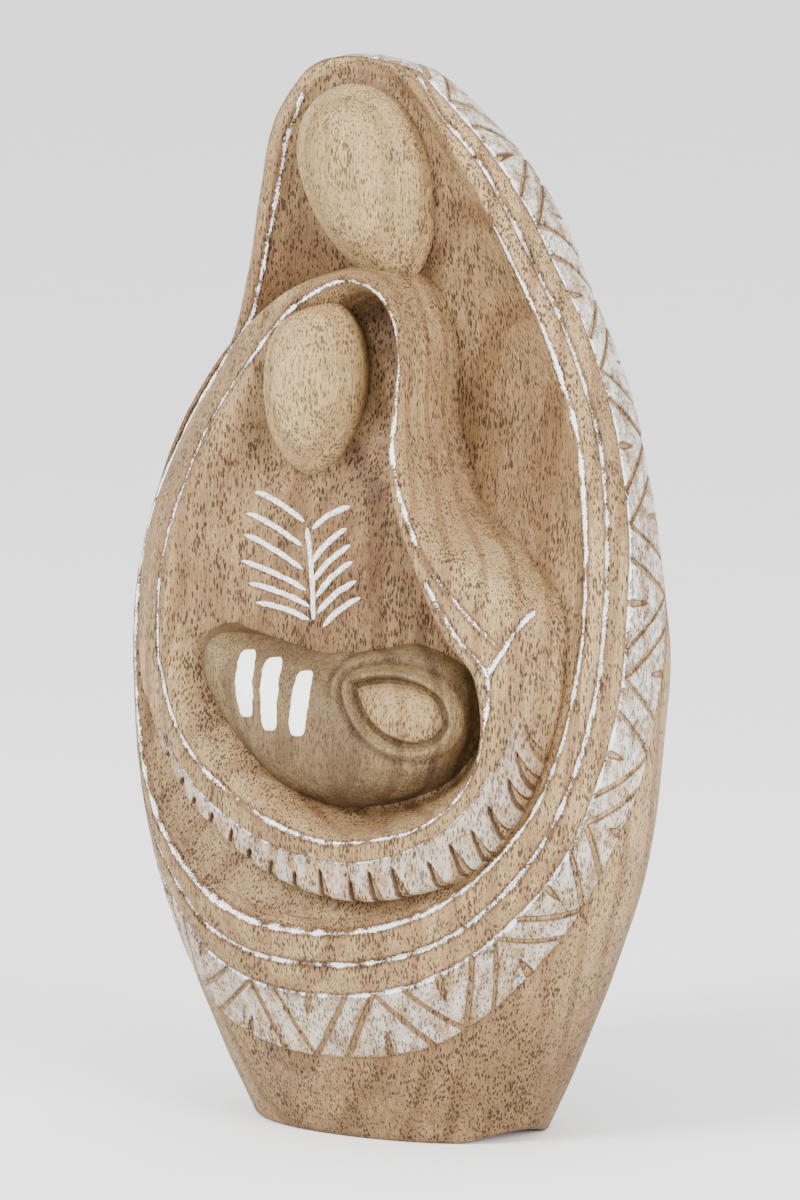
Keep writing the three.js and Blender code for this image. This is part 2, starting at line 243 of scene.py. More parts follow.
def reach(z):
    """At a height: the middle of the body's width, half the width, and the reach to front and back."""
    left, right, front, back = (np.interp(z, BODY_Z, BODY_REACH[:, k]) for k in range(4))
    return (right - left) / 2, np.maximum((right + left) / 2, 0.5), front, back


def skin(x, z):
    """The y of the body's front skin at a front view point."""
    middle, half, front, _ = reach(z)
    u = np.minimum(np.abs((x - middle) / half), 1)
    return -front * (1 - u ** SQUARENESS) ** (1 / SQUARENESS)


def outward(p):
    """The body's outward normal at points of its skin."""
    def level(q):
        middle, half, front, back = reach(q[..., 2])
        deep = np.where(q[..., 1] < 0, front, back)
        return np.abs((q[..., 0] - middle) / half) ** SQUARENESS + np.abs(q[..., 1] / deep) ** SQUARENESS
    step = 0.4 * np.eye(3)
    slope = np.stack([level(p + e) - level(p - e) for e in step], axis=-1)
    return slope / np.maximum(np.linalg.norm(slope, axis=-1, keepdims=True), 1e-9)


rim_inner, band_inner, band_outer = curve(RIM_INNER), curve(BAND_INNER), curve(BAND_OUTER)
hood_depth, arm_radius = curve(HOOD_DEPTH), curve(ARM_RADIUS)
mantle_loop = closed_curve(MANTLE_OUTLINE, 520)
hollow_loop = closed_curve(HOLLOW_OUTLINE, 360)
bundle_loop = closed_curve(BUNDLE_OUTLINE, 260)
face_loop = closed_curve(FACE_OUTLINE, 200)
fringe_inner = open_curve(FRINGE_INNER, 200)
fringe_outer = open_curve(FRINGE_OUTER, 200)


def outside_level(x, y, z):
    """Below zero inside the body and above zero outside it."""
    middle, half, front, back = reach(z)
    level = np.abs((x - middle) / half) ** SQUARENESS + np.abs(y / np.where(y < 0, front, back)) ** SQUARENESS
    return np.where((z > HEIGHT - 0.2) | (z < 0), 9, level - 1)


def edge_line(line, turn):
    """Where a hood edge sheet meets the skin, in each direction round the middle of the front view."""
    near, far = np.zeros(turn.shape), np.full(turn.shape, 260.0)
    for _ in range(40):
        r = (near + far) / 2
        x, z = CENTRE[0] + r * np.cos(turn), CENTRE[1] + r * np.sin(turn)
        inside = outside_level(x, -line(z) - SKEW * x, z) < 0
        near, far = np.where(inside, r, near), np.where(inside, far, r)
    return join(x, -line(z) - SKEW * x, z)


def edge_gap(p, line):
    """Distance from points of the skin to a hood edge line, below zero in front of its sheet."""
    turn = np.linspace(-math.pi, math.pi, 3001)
    path = edge_line(line, turn)
    here = np.arctan2(p[..., 2] - CENTRE[1], p[..., 0] - CENTRE[0])
    away = [p[..., k] - np.interp(here, turn, path[:, k]) for k in range(3)]
    behind = p[..., 1] > -line(p[..., 2]) - SKEW * p[..., 0]
    return np.sqrt(sum(d ** 2 for d in away)) * np.where(behind, 1, -1)


# ---------- carved surfaces, each a y value at a front view point ----------


def turned(x, z, at, lean):
    """Offsets from a place, turned into the axes of a shape that leans."""
    dx, dz = x - at[0], z - at[1]
    return dx * math.cos(lean) - dz * math.sin(lean), dx * math.sin(lean) + dz * math.cos(lean)


def ring_of(head, x, z):
    """How far out from a head's middle a place is, seen from the front: 1 on its outline."""
    across, along = turned(x, z, (head["at"][0], head["at"][2]), math.radians(head["lean"]))
    return np.hypot(across / head["radii"][0], along / head["radii"][2])


def foot_of(head, x, z, height, spread):
    """A soft rise of the wood round the foot of a head."""
    ring = ring_of(head, x, z)
    gap = (ring - 0.97) * min(head["radii"][0], 25)
    return height * fading(gap, spread)


def hood_floor(x, z):
    """The bottom of the tall figure's hollow, with a soft rise round the head."""
    middle, half, _, _ = reach(z)
    u = np.abs((x - middle) / np.maximum(half - RIM_WIDTH, 1))
    bowl = np.maximum(1 - u ** 3.2, 0)
    floor = -rim_inner(z) - SKEW * x + hood_depth(z) * bowl
    return floor - foot_of(FATHER_HEAD, x, z, 3.0, 2.2)


def robe(x, z, inside):
    """The smaller figure's robe: the skin, falling to the hood's floor at the outline."""
    right = smooth((x + 10) / 20)
    radius = 4 + (arm_radius(z) - 4) * right
    t = np.clip(inside / radius, 0, 1)
    rise = (1 - (1 - t) ** 3.5) ** (1 / 1.3)
    floor = hood_floor(x, z)
    return floor + (skin(x, z) - floor) * rise


def chest_drop(x, z):
    """How far the robe's hollow is sunk, and the distance inside its outline."""
    hollow = depth_inside(x, z, hollow_loop)
    gentle = smooth((15 - x) / 60)
    deep = 21 + 6 * smooth((z - 235) / 40)
    return deep * smooth((hollow + 1.5) / (12 + 18 * gentle)), hollow


# ---------- meshes ----------

FAR_FROM_LINE = 9.0  # a distance at which a painted line no longer shows


def add_to_scene(name, data):
    """A new object, linked to the scene."""
    thing = bpy.data.objects.new(name, data)
    bpy.context.scene.collection.objects.link(thing)
    return thing


def make_mesh(name, points, faces, **layers):
    """A smooth mesh in millimetres that rides on the root, with the layers its material reads."""
    mesh = bpy.data.meshes.new(name)
    mesh.from_pydata((points / 1000).tolist(), [], faces)
    mesh.validate()
    for layer in ("line", "wash", "crease", "cut"):
        values = layers.get(layer)
        attribute = mesh.attributes.new(layer, "FLOAT", "POINT")
        if values is None:
            values = np.full(len(points), FAR_FROM_LINE if layer == "line" else 0.0)
        attribute.data.foreach_set("value", np.asarray(values, np.float32).ravel())
    mesh.polygons.foreach_set("use_smooth", [True] * len(mesh.polygons))
    piece = add_to_scene(name, mesh)
    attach(piece, "root")
    return piece


def grid_faces(rows, columns, wrap_rows=False, wrap_columns=False, flip=False):
    """The quads of a grid of points, closed round in either direction if asked."""
    r = np.arange(rows if wrap_rows else rows - 1)[:, None]
    c = np.arange(columns if wrap_columns else columns - 1)[None, :]
    r2, c2 = (r + 1) % rows, (c + 1) % columns
    quads = np.stack([r * columns + c, r * columns + c2, r2 * columns + c2, r2 * columns + c], axis=-1)
    quads = quads.reshape(-1, 4)
    return (quads[:, ::-1] if flip else quads).tolist()


def capped_faces(rows, columns, flip=False):
    """A closed grid with a fan at each end: its first row to one more point, its last row to another."""
    first = list(range(columns)) + [0]
    last = [(rows - 1) * columns + i for i in first]
    near, far = rows * columns, rows * columns + 1
    fans = [[b, a, near] for a, b in zip(first, first[1:])] + [[a, b, far] for a, b in zip(last, last[1:])]
    return grid_faces(rows, columns, wrap_columns=True, flip=flip) + [f[::-1] if flip else f for f in fans]


def ring_grid(inner, outer, widths, count):
    """Points in rows from one hood edge line to another, on the skin, round from the front of the foot."""
    def mixed(w):
        return lambda z: (1 - w) * inner(z) + w * outer(z)
    turn = -math.pi / 2 + np.linspace(0, 2 * math.pi, 6001)
    path = edge_line(mixed(0.5), turn)
    run = np.r_[0, np.cumsum(np.linalg.norm(np.diff(path, axis=0), axis=1))]
    even = np.interp(np.linspace(0, run[-1], count, endpoint=False), run, turn)
    return np.stack([edge_line(mixed(w), even) for w in widths])


# ---------- painted and cut lines, seen from the front ----------

ROBE_LINE = open_curve([
    (-79, 176), (-80, 197), (-78, 219), (-70, 243), (-60, 267), (-43, 290), (-23, 310), (-3, 321),
    (15, 314.5), (22.6, 294), (23.2, 278), (24.4, 262), (29, 244), (40, 221), (51, 208), (60, 198), (66, 192),
], 260)
HEM_LINE = open_curve([
    (40, 214), (52, 195), (63, 181), (62, 161), (58, 145), (50, 133), (38, 124), (23, 119), (6, 116),
    (-9, 118), (-25, 123), (-41, 131), (-59, 143), (-70, 156), (-79, 176),
], 220)
CUFF_LINE = open_curve([(76, 204), (69, 192), (63, 181)], 20)


def nearest_line(x, y, z, lines):
    """Distance to the nearest of some lines that lie on the robe."""
    p = join(x, y, z)
    gaps = []
    for line in lines:
        lift, _, _ = mantle_surface(line[:, 0], line[:, 1])
        gaps.append(line_distance(p, np.column_stack([line[:, 0], lift, line[:, 1]])))
    return np.min(gaps, axis=0)


def vee(distance, half_width, depth):
    """The depth of a V-shaped cut with soft lips, at a distance from its middle."""
    return depth * smooth(1 - distance / half_width) ** 0.8


def jolt(seed, count, size):
    """Small hand-made differences, one for each repeat."""
    return np.random.default_rng(seed).uniform(-size, size, count)


# ---------- the block ----------

HOOD_START = 70  # the height at which the hood's hollow begins
CHIP_HEIGHT = 20  # how far up the foot the slanting chip reaches


def add_block():
    """The billet: an egg-shaped body with its hood hollowed out."""
    rows, columns = 330, 300
    t = np.linspace(0, 1, rows)
    z = HEIGHT * (1.25 * t - 0.25 * t ** 4.2)
    angle = np.linspace(0, 2 * math.pi, columns, endpoint=False)
    c, s = np.cos(angle), np.sin(angle)
    across = np.sign(c) * np.abs(c) ** (2 / SQUARENESS)
    along = np.sign(s) * np.abs(s) ** (2 / SQUARENESS)
    middle, half, front, back = (value[:, None] for value in reach(z))
    foot = 1.2 * np.clip(1 - z / 1.2, 0, 1)[:, None]
    x = middle + (half - foot) * across
    y = along * (np.where(s < 0, front, back) - foot)
    p = join(x, y, np.broadcast_to(z[:, None], x.shape))
    normal = outward(p)
    band_gap = edge_gap(p, band_outer)
    beside_band = np.where(band_gap > 0, bell(band_gap, 1.9), 0)
    wobble = 0.4 * HAND_CUT(p) + facets(p) - 1.0 * beside_band
    fade = smooth(z / 12) * smooth((HEIGHT - z) / 8)
    p += normal * (wobble * fade[:, None])[..., None] * [1, 1, 0]
    p[..., 2] = np.maximum(p[..., 2], chip_face(p))
    carved = hood_floor(p[..., 0], p[..., 2]) + 0.25 * HAND_CUT(p * [1, 1, 0.5])
    is_carved = (carved > p[..., 1]) & (p[..., 2] > HOOD_START)
    p[..., 1] = np.where(is_carved, carved, p[..., 1])
    points = np.vstack([p.reshape(-1, 3), [[middle[0, 0], 0, 0], [middle[-1, 0], 0, HEIGHT]]])
    crease = block_crease(points) * (np.r_[is_carved.ravel(), False, False])
    # Painted shadow along the step below the band's outer edge.
    crease = np.maximum(crease, np.r_[np.exp(-np.abs(band_gap) / 1.5).ravel() * 0.9, 0, 0])
    # Painted shade: darker towards the foot, to hold back the light bounced up from the floor.
    crease = np.maximum(crease, 0.7 * smooth((95 - points[:, 2]) / 75))
    return make_mesh("carved_block", points, capped_faces(rows, columns), crease=crease)


def chip_face(p):
    """The height of the slanting chip's face, under the right front of the foot."""
    slant = 0.5 * (0.9 * p[..., 0] - 0.43 * p[..., 1] - 47)
    return slant * smooth((CHIP_HEIGHT - p[..., 2]) / 12)


def facets(p):
    """Long flat adze cuts near the foot."""
    turn = np.arctan2(p[..., 1] / 60, p[..., 0] / 100)
    low = smooth((75 - p[..., 2]) / 60)
    return 0.45 * low * np.abs(np.sin(turn * 5 + 0.8 * np.sin(p[..., 2] / 31)))


def block_crease(p):
    """How dark the hollow is painted: shade with some brown staining along the rim, round the head and along
    the robe, and more shade in its upper and left parts.
    """
    x, z = p[..., 0], p[..., 2]
    outline = -depth_inside(x, z, mantle_loop)
    robe_side = fading(outline, 3.5) * (outline > -4)
    ring = ring_of(FATHER_HEAD, x, z)
    head_side = fading((ring - 1) * 22, 4)
    middle, half, _, _ = reach(z)
    edge = (half - RIM_WIDTH) - np.abs(x - middle)
    rim_side = fading(edge - 2, 7)
    # Painted shade deeper in the hollow's upper and left parts.
    deep = 0.5 * smooth((z - 190) / 60) + 0.3 * smooth((-x - 25) / 15)
    return np.clip(np.maximum.reduce([robe_side, head_side, 0.8 * rim_side, deep]), 0, 1)


# ---------- the zigzag band and the hood's rim ----------

BAND_RISE = 0.9  # how far the band stands over the skin
PERIODS = 16  # zigzags in the whole ring
LOOP_COUNT = 2160  # points round the ring
LINE_HALF_WIDTH, LINE_DEPTH = 1.45, 1.3
GOUGE_HALF_WIDTH, GOUGE_DEPTH = 2.2, 1.5
GOUGE_LENGTH = 0.40  # of the band's width
DEEPEST_CUT = 1.5


def closed_strip(name, top, **layers):
    """A closed strip: rows of points over the top, and one row under it."""
    rows, columns, _ = top.shape
    low = (top[0] + top[-1]) / 2
    inner = low - outward(low) * 3.0 * [1, 1, 0.3]
    points = np.concatenate([top, inner[None]]).reshape(-1, 3)
    closed = {key: np.vstack([value, value[-1:]]) for key, value in layers.items()}
    return make_mesh(name, points, grid_faces(rows + 1, columns, True, True, flip=True), **closed)


def zigzag_cuts(s, w, width, period):
    """Depth of the band's cuts: slanting lines that bound long triangles, with a gouge in each base."""
    number = np.floor(s / period)
    local = s - (number + 0.5) * period
    index = number.astype(int) % PERIODS
    deep = np.zeros(np.broadcast(s, w).shape)
    lines = ((0.0, 0.29), (0.21, 0.5))  # where a line meets the inner and the outer edge, in periods
    for kind, (start, end) in enumerate(lines):
        for side in (-1, 1):
            seed = 40 + 10 * kind + side
            inner_end = start * period + jolt(seed, PERIODS, 0.7)[index]
            outer_end = end * period + jolt(seed + 20, PERIODS, 0.8)[index] * (1 - kind)
            wide = LINE_HALF_WIDTH + jolt(seed + 40, PERIODS, 0.3)[index]
            at = side * (inner_end + (outer_end - inner_end) * (1 - w))
            gap = np.abs(local - at) * width / np.hypot(width, outer_end - inner_end)
            tips = smooth(w / 0.05) * smooth((1 - w) / 0.06)
            deep = np.maximum(deep, vee(gap, wide, LINE_DEPTH) * (0.3 + 0.7 * tips))
    for from_inner in (False, True):
        nearest = np.round(s / period) if from_inner else number + 0.5
        along = (1 - w) if from_inner else w
        which = np.floor(nearest).astype(int) % PERIODS
        length = GOUGE_LENGTH + jolt(90 + from_inner, PERIODS, 0.08)[which]
        t = np.clip(along / length, 0, 1)
        bend = 1.4 * t * (1 if from_inner else -1)
        half = GOUGE_HALF_WIDTH + jolt(94 + from_inner, PERIODS, 0.4)[which]
        half = half * np.sqrt(1 - t) * (0.7 + 0.3 * smooth(4 * t))
        across = np.abs(s - nearest * period + bend)
        scoop = GOUGE_DEPTH * np.clip(1 - (across / np.maximum(half, 0.05)) ** 2, 0, 1)
        deep = np.maximum(deep, scoop * (along < length) * (1 - 0.5 * t))
    return deep


def add_band():
    """The limewashed border: a raised strip with its cuts, and a low step on its outer side."""
    widths = np.linspace(0, 1, 37)
    base = ring_grid(band_outer, band_inner, widths, LOOP_COUNT)
    middle = base[len(widths) // 2]
    steps = np.linalg.norm(np.roll(middle, -1, axis=0) - middle, axis=1)
    length = steps.sum()
    s = np.r_[0, np.cumsum(steps)[:-1]]
    period = length / PERIODS
    width = np.linalg.norm(base[-1] - base[0], axis=1)
    s = (s + 2.0) % length
    normal = outward(base)
    w = widths[:, None]
    cut = zigzag_cuts(s[None, :], w, width[None, :], period)
    grain = 0.07 * TOOL_MARKS(base)
    outer_gap, inner_gap = w * width, (1 - w) * width
    edge = 0.55 * np.clip(1 - outer_gap / 0.9, 0, 1) + 0.75 * np.clip(1 - inner_gap / 0.8, 0, 1)
    ragged = 0.35 * np.clip(1 - outer_gap / 2.5, 0, 1) * HAND_CUT(base * 5)
    rise = BAND_RISE - np.minimum(cut, DEEPEST_CUT) - edge + grain + 0.4 * HAND_CUT(base)
    top = base + normal * rise[..., None]
    outwards = base[0] - base[2]
    outwards /= np.linalg.norm(outwards, axis=1, keepdims=True)
    top[0] += outwards * ragged[0][:, None]
    skirt = [base[0] + outwards * 0.35 - normal[0] * depth + normal[0] * 0.4 * HAND_CUT(base[0])[:, None]
             for depth in (1.6, 0.25)]
    tuck = [base[-1] - outwards * 0.6 * k - normal[-1] * 0.7 * k for k in (1, 2)]
    top = np.concatenate([skirt, top, tuck])
    cover = np.clip(1 - cut / 0.30, 0, 1) * smooth(outer_gap / 1.2)
    cover = cover * (1 - 0.42 * smooth((170 - base[..., 2]) / 80))
    wash = pad_rows(cover, 0.0)
    line = pad_rows(inner_gap, FAR_FROM_LINE)
    # Bare wood in the cuts, darkened further as painted shade, and painted shadow on the low step under the
    # band's outer edge.
    cuts = pad_rows(np.clip(cut / 0.9, 0, 1) * (cut > 0.12), 0.6)
    return closed_strip("limewashed_zigzag", top, wash=wash, line=line, cut=cuts)


def pad_rows(values, first):
    """The same rows with two more before them, all of one value, and two after them, like the last."""
    return np.vstack([np.full_like(values[:2], first), values, values[-1:], values[-1:]])


ROLL = (0.6, 1.3, 2.2, 3.2, 4.3, 5.4, 6.6)  # how far past the hood's edge the rim's last rows lie
ROLL_SINK = (-0.75, -0.6, -0.5, -0.4, -0.2, 0.2, 1.4)  # and how far behind the hood's floor
LEFT_LINE_SHIFT = 4.3  # how far inside the edge the painted line runs on the left


def add_rim():
    """The hood's rim: two soft ridges with a groove between, rolling over into the hollow."""
    widths = np.linspace(0, 1, 26)
    base = ring_grid(band_inner, rim_inner, widths, LOOP_COUNT)
    normal = outward(base)
    width = np.linalg.norm(np.diff(base, axis=0), axis=2)
    outer_gap = np.vstack([np.zeros(LOOP_COUNT), np.cumsum(width, axis=0)])
    total = outer_gap[-1]
    crest_gap = np.abs(outer_gap - 0.5 * total + 0.8 * np.sin(total * 0.9))
    inner_gap = total - outer_gap
    rise = 0.9 + 0.4 * HAND_CUT(base) + 0.05 * TOOL_MARKS(base)
    rise -= 0.75 * np.clip(1 - outer_gap / 0.8, 0, 1)
    rise -= vee(crest_gap, 1.3, 1.0)
    rise += 0.35 * np.sin(2 * math.pi * np.clip(outer_gap / np.maximum(total, 1), 0, 1)) ** 2
    top = base + normal * rise[..., None]
    last = base[-1]
    tangent = np.roll(last, -3, axis=0) - np.roll(last, 3, axis=0)
    inward = np.column_stack([-tangent[:, 2], np.zeros(len(last)), tangent[:, 0]])
    inward /= np.maximum(np.linalg.norm(inward, axis=1, keepdims=True), 1e-6)
    towards = CENTRE - last[:, [0, 2]]
    inward *= np.sign((inward[:, [0, 2]] * towards).sum(axis=1, keepdims=True))
    roll = []
    for d, sink in zip(ROLL, ROLL_SINK):
        q = last + inward * d
        q[:, 1] = hood_floor(q[:, 0], q[:, 2]) + sink + 0.25 * HAND_CUT(q * [1, 1, 0.5])
        roll.append(q)
    edge_start = len(top) - 4
    top = np.concatenate([top, roll])
    for _ in range(3):
        band = top[edge_start:edge_start + 8]
        top[edge_start + 1:edge_start + 7] = (band[:-2] + 2 * band[1:-1] + band[2:]) / 4
    x, z = last[:, 0], last[:, 2]
    left = smooth((-30 - x) / 12) * smooth((z - 285) / 20)
    bare_top = smooth((z - 340) / 12) * smooth((x + 38) / 8)
    bare_crest = smooth((z - 372) / 10) * smooth((4 - x) / 10)
    past = np.array(ROLL)[:, None] * np.ones(LOOP_COUNT)
    line = np.abs(np.vstack([-inner_gap, past]) - LEFT_LINE_SHIFT * left) + FAR_FROM_LINE * bare_top
    outer_line = np.minimum(outer_gap, crest_gap + FAR_FROM_LINE * np.maximum(bare_crest, left))
    line[:len(widths)] = np.minimum(outer_line, line[:len(widths)])
    # Painted shade: the rows rolling into the hollow get darker inward, and the crest's groove is darkened as
    # shade.
    darker_tone = np.linspace(0.1, 0.8, len(ROLL))[:, None] * np.ones(LOOP_COUNT)
    crease = np.vstack([0.5 * vee(crest_gap, 2.2, 1), darker_tone])
    return closed_strip("hood_rim", top, line=line, crease=crease)


# ---------- the robe, its hollow and its fringe ----------


def patch(loop, centre, rows, columns, margin, power):
    """Points in rings from a centre out past a loop, seen from the front."""
    outline = even_steps(np.vstack([loop, loop[:1]]), columns + 1)[:-1]
    away = outline - centre
    away /= np.linalg.norm(away, axis=1, keepdims=True)
    rim = outline + away * margin
    q = 1 - (1 - np.linspace(0, 1, rows + 1)[1:, None, None]) ** power
    return centre + q * (rim - centre)


def add_patch(name, plan, y, behind, **layers):
    """A carved relief over rings of points: closed in front by a middle point and behind by a fan."""
    rows, columns, _ = plan.shape
    x, z = plan[..., 0], plan[..., 1]
    front = join(x, y, z).reshape(-1, 3)
    centre = [plan[0, :, 0].mean(), y[0].mean(), plan[0, :, 1].mean()]
    rear = [centre[0], behind, centre[2]]
    points = np.vstack([front, [centre], [rear]])
    ends = {key: np.r_[v.ravel(), v[0].mean(), v[-1].mean()] for key, v in layers.items()}
    return make_mesh(name, points, capped_faces(rows, columns), **ends)


def mantle_surface(x, z):
    """The y of the robe with its hollow and its fringe's step, without cut lines."""
    inside = depth_inside(x, z, mantle_loop)
    y = robe(x, z, inside)
    drop, hollow = chest_drop(x, z)
    y = y + drop - foot_of(MOTHER_HEAD, x, z, 2.5, 2.0)
    sunk = np.clip(-inside, 0, 99)
    return y + 1.0 * np.clip(sunk / 1.5, 0, 4), inside, hollow


def add_mantle():
    """The smaller figure's robe, with cut and painted lines and the hollow of the chest."""
    plan = patch(mantle_loop, CENTRE, 140, 640, 2.0, 1.5)
    x, z = plan[..., 0], plan[..., 1]
    y, inside, hollow = mantle_surface(x, z)
    fringe_cover = smooth((outside_of_fringe(x, z)) / 1.5)
    p = join(x, y, z)
    y = y + 0.3 * HAND_CUT(p) + 0.05 * TOOL_MARKS(p)
    lines = nearest_line(x, y, z, [ROBE_LINE, HEM_LINE, CUFF_LINE])
    strokes = np.min([line_distance(plan, line) for line in stroke_lines()], axis=0)
    y = y + vee(lines, 1.3, 0.8) + vee(strokes, 1.7, 0.5) + 1.6 * fringe_cover
    line = np.where(inside > 0, lines, FAR_FROM_LINE)
    knot = np.hypot(x + 52, z - 251)
    # Painted shade round the head and the baby, in the chest's hollow (most on its right, under the arm),
    # beside the painted strokes' grooves, and where the robe meets the hood's floor.
    crease = np.maximum.reduce([
        bell(knot, 2.2) + 0.4 * bell(knot, 7),
        0.9 * fading((ring_of(MOTHER_HEAD, x, z) - 1) * 25, 3.5),
        0.7 * fading(-depth_inside(x, z, bundle_loop), 5),
        smooth(hollow / 10) * (0.55 + 0.45 * smooth((x + 32) / 24)),
        0.8 * fading(strokes - 0.8, 0.7),
        0.8 * fading(hood_floor(x, z) - y, 2),
    ])
    return add_patch("robe_and_hollow", plan, y, 4.0, line=line, crease=crease)


def leaf_nodes():
    """The fishbone's side strokes: each node, and whether it falls to the right."""
    sides = (("left", True), ("right", False))
    return [(f"fishbone_{side}_{number}", falls) for number in range(1, 7) for side, falls in sides]


def stroke_lines():
    """The painted fishbone's strokes as short lines seen from the front."""
    ends = [stroke_ends("fishbone_stem", True)]
    ends += [stroke_ends(node, falls, 0.1) for node, falls in leaf_nodes()]
    return [np.array([(ax, az), ((ax + bx) / 2, (az + bz) / 2), (bx, bz)]) for ax, az, bx, bz in ends]


def outside_of_fringe(x, z):
    """Distance below and outside the fringe's inner line, positive on the fringe."""
    near = line_distance(join(x, z), fringe_inner)
    loop = np.vstack([fringe_inner, [[-140, 200], [-140, 400], [140, 400], [140, 200]]])
    return np.where(depth_inside(x, z, loop) > 0, -near, near)


NOTCH_PITCH = 10.5
NOTCH_DEPTH, NOTCH_HALF_WIDTH = 2.6, 2.7


def add_fringe():
    """The notched border under the robe: a thick leaf whose lower edge curls back."""
    columns, rows = 620, 40
    inner = even_steps(fringe_inner, columns)
    outer = even_steps(fringe_outer, columns)
    w = np.linspace(0, 1.12, rows)[:, None]
    plan = inner[None] + w[..., None] * (outer - inner)[None]
    x, z = plan[..., 0], plan[..., 1]
    width = np.linalg.norm(outer - inner, axis=1)[None, :]
    run = np.r_[0, np.cumsum(np.linalg.norm(np.diff((inner + outer) / 2, axis=0), axis=1))]
    y, _, _ = mantle_surface(x, z)
    p = join(x, y, z)
    y = y + 0.3 * HAND_CUT(p) + 0.07 * TOOL_MARKS(p)
    count = int(run[-1] // NOTCH_PITCH)
    notch = np.zeros(y.shape)
    shifts, lengths, widths = jolt(5, count, 1.6), jolt(6, count, 0.12), jolt(8, count, 0.6)
    for k, (shift, long, wide) in enumerate(zip(shifts, lengths, widths)):
        at = (k + 0.6) * NOTCH_PITCH + shift
        along = np.clip((w - (0.30 + long)) / 0.68, 0, 1.2)
        half = (NOTCH_HALF_WIDTH + wide) * np.clip(along, 0, 1) ** 0.6
        slant = 2.0 + 7.0 * smooth((90 - at) / 70)
        across = np.abs(run[None, :] - at - slant * (along - 0.5))
        scoop = NOTCH_DEPTH * np.clip(1 - (across / np.maximum(half, 0.05)) ** 1.5, 0, 1) * smooth(along * 3)
        notch = np.maximum(notch, scoop * (along > 0))
    ends = smooth(run / 14) * smooth((run[-1] - run) / 22)
    notch = notch * (ends * smooth((run - 8) / 26))[None, :]
    inner_gap = w * width
    y = y + notch + vee(inner_gap, 1.2, 0.8) - 0.4 * ends[None, :] * smooth(w / 0.15)
    edge = np.clip((w - 1) / 0.12, 0, 1)
    y = y + 6 * edge ** 1.3 + 3.0 * (1 - ends[None, :]) ** 2 * (w > 0)
    top = join(x, y, z)
    points = np.concatenate([top, top + [0, 3.5, 0]]).reshape(-1, 3)
    cover = np.clip(1 - notch / 0.35, 0, 1) * (0.75 - 0.25 * np.clip(w, 0, 1)) * ends[None, :]
    layers = {
        "line": inner_gap + 0 * y,
        "wash": 0.74 * cover * smooth((run - 12) / 45)[None, :] + 0 * y,
        # Painted shade: the notches darken as bare wood in shadow, and the curled lower edge darkens as shade
        # under the curl.
        "cut": np.clip(notch / 0.8, 0, 1) * smooth((run - 24) / 20)[None, :],
        "crease": edge * 0.7 + 0 * y,
    }
    layers = {key: np.tile(np.broadcast_to(value, y.shape), (2, 1)) for key, value in layers.items()}
    return make_mesh("carved_fringe", points, shell_faces(rows, columns), **layers)


def shell_faces(rows, columns):
    """A grid and the same grid behind it, closed along the four sides."""
    back = rows * columns
    faces = grid_faces(rows, columns)
    faces += [[back + i for i in quad[::-1]] for quad in grid_faces(rows, columns)]
    border = list(range(columns))
    border += [r * columns + columns - 1 for r in range(1, rows)]
    border += [(rows - 1) * columns + i for i in range(columns - 2, -1, -1)]
    border += [r * columns for r in range(rows - 2, 0, -1)]
    for a, b in zip(border, border[1:] + border[:1]):
        faces.append([b, a, back + a, back + b])
    return faces


# ---------- heads ----------


def add_head(name, head):
    """A leaning egg, wider above, with faint tool marks."""
    rows, columns = 110, 150
    polar = np.linspace(0.012, math.pi - 0.012, rows)[:, None]
    angle = np.linspace(0, 2 * math.pi, columns, endpoint=False)[None, :]
    up = np.cos(polar) + 0 * angle
    taper = 1 + head["taper"] * up
    round_it = np.sin(polar) * taper
    unit = join(round_it * np.cos(angle), round_it * np.sin(angle), up)
    p = unit * head["radii"]
    p += unit * (0.35 * HAND_CUT(p * 1.4 + head["at"]) + 0.10 * TOOL_MARKS(p))[..., None]
    lean = math.radians(head["lean"])
    turn = np.array([[math.cos(lean), 0, math.sin(lean)], [0, 1, 0], [-math.sin(lean), 0, math.cos(lean)]])
    p = p @ turn.T + head["at"]
    flat = p.reshape(-1, 3)
    points = np.vstack([flat, [p[0].mean(axis=0)], [p[-1].mean(axis=0)]])
    # Painted shade: darker on the half that sinks back into the hollow and on the lower part.
    behind = points[:, 1] - head["at"][1]
    low = smooth((head["at"][2] - points[:, 2]) / head["radii"][2] - 0.45)
    crease = np.clip(smooth((behind + 1) / 10) + 0.35 * low, 0, 1)
    return make_mesh(name, points, capped_faces(rows, columns, flip=True), crease=crease)


# ---------- the baby ----------


def bundle_surface(x, z):
    """The y of the wrapped baby: a cushion on the hollow's floor with a fold and a ring round the face."""
    inside = depth_inside(x, z, bundle_loop)
    floor = -36 - 7 * smooth((185 - z) / 50)
    full = 27 - 5 * smooth((x - 5) / 35) - 8 * smooth((-x - 5) / 30) * smooth((z - 155) / 20)
    t = np.clip(inside / full, 0, 1)
    y = floor - 18 * np.sqrt(1 - (1 - t) ** 2)
    across, along = turned(x, z, FACE_AT, FACE_LEAN)
    gap = -depth_inside(across, along, face_loop)
    left = smooth((-across - 4) / 14)
    ridge = 1.7 * bell(gap, 1.7)
    dip = 1.8 * bell(gap + 3.2, 1.3)
    outer = (0.5 + 0.9 * left) * bell(gap - 3.3, 1.4)
    collar = 1.9 * bell(gap - 8.5, 1.6) * collar_side(across, along)
    sunk = np.clip(-inside, 0, 99)
    y = y - ridge + dip + outer + collar + 2.5 * sunk
    return y, inside, gap


def collar_side(across, along):
    """Where the wrap's second fold shows: left of the face only."""
    return smooth((-across - 11) / 7) * smooth((10 + along) / 6)


